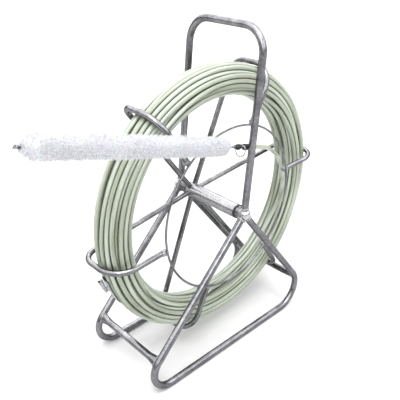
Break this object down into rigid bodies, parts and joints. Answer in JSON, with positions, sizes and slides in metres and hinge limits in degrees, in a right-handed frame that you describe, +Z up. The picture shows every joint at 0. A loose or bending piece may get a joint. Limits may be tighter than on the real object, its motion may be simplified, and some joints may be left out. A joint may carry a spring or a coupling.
{
  "type": "duct rodder reel",
  "caption": "Fibreglass duct rodder wound in a hooped wheel cage that turns on a bent-tube stand with a carrying handle, with a twisted-wire brush on the rod's free end.",
  "frame": {"origin": "on the floor under the middle of the axle", "axes": "+Z up; +Y along the axle from the cage's open front to its spoked back; +X towards the short legs"},
  "size_m": [0.6599, 0.1984, 0.6075],
  "materials": {
    "stand_tube": "bright zinc-plated tube",
    "zinc_hardware": "zinc-plated fasteners",
    "cage_bar": "bright zinc-plated bar",
    "black_nylon": "moulded black nylon",
    "fibreglass_rod": "pale green translucent fibreglass rod",
    "tape": "grey tape with dark edges",
    "black_steel": "blackened steel",
    "stem_wire": "twisted steel wire",
    "nylon_bristle": "white nylon bristles"
  },
  "bodies": {
    "stand": {"front_side_frame": "stand_tube", "back_side_frame": "stand_tube", "carry_handle": "stand_tube", "long_leg_cross_bar": "stand_tube", "short_leg_cross_bar": "stand_tube", "front_axle_boss": "stand_tube", "back_axle_boss": "stand_tube", "axle_bolt": "zinc_hardware", "axle_washers": "zinc_hardware", "axle_nut": "zinc_hardware", "front_axle_spacer": "zinc_hardware", "back_axle_spacer": "zinc_hardware", "rod_lead": "fibreglass_rod", "rod_ferrule": "black_steel"},
    "wheel_cage": {"hub_tube": "cage_bar", "front_hub_bush": "black_nylon", "back_hub_bush": "black_nylon", "hoop_1": "cage_bar", "hoop_2": "cage_bar", "hoop_3": "cage_bar", "hoop_4": "cage_bar", "hoop_5": "cage_bar", "hoop_6": "cage_bar", "front_ring": "cage_bar", "rod_coil": "fibreglass_rod", "tail_tape": "tape"},
    "brush": {"swivel_head": "black_steel", "brush_stem": "stem_wire", "brush_bristles": "nylon_bristle"},
    "keeper": {"keeper_ring": "stem_wire"}
  },
  "joints": [
    {"name": "cage_spin", "type": "hinge", "parent": "stand", "child": "wheel_cage", "pos_m": [0, 0, 0.2845], "axis": [0, 1, 0], "continuous": true},
    {"name": "brush_swivel", "type": "hinge", "parent": "stand", "child": "brush", "pos_m": [0.024, -0.071, 0.4024], "axis": [-0.9595, -0.0363, 0.2794], "continuous": true},
    {"name": "keeper_swing", "type": "hinge", "parent": "stand", "child": "keeper", "pos_m": [0.024, -0.071, 0.4024], "axis": [-0.9595, -0.0363, 0.2794], "range_deg": [-35, 35]}
  ]
}
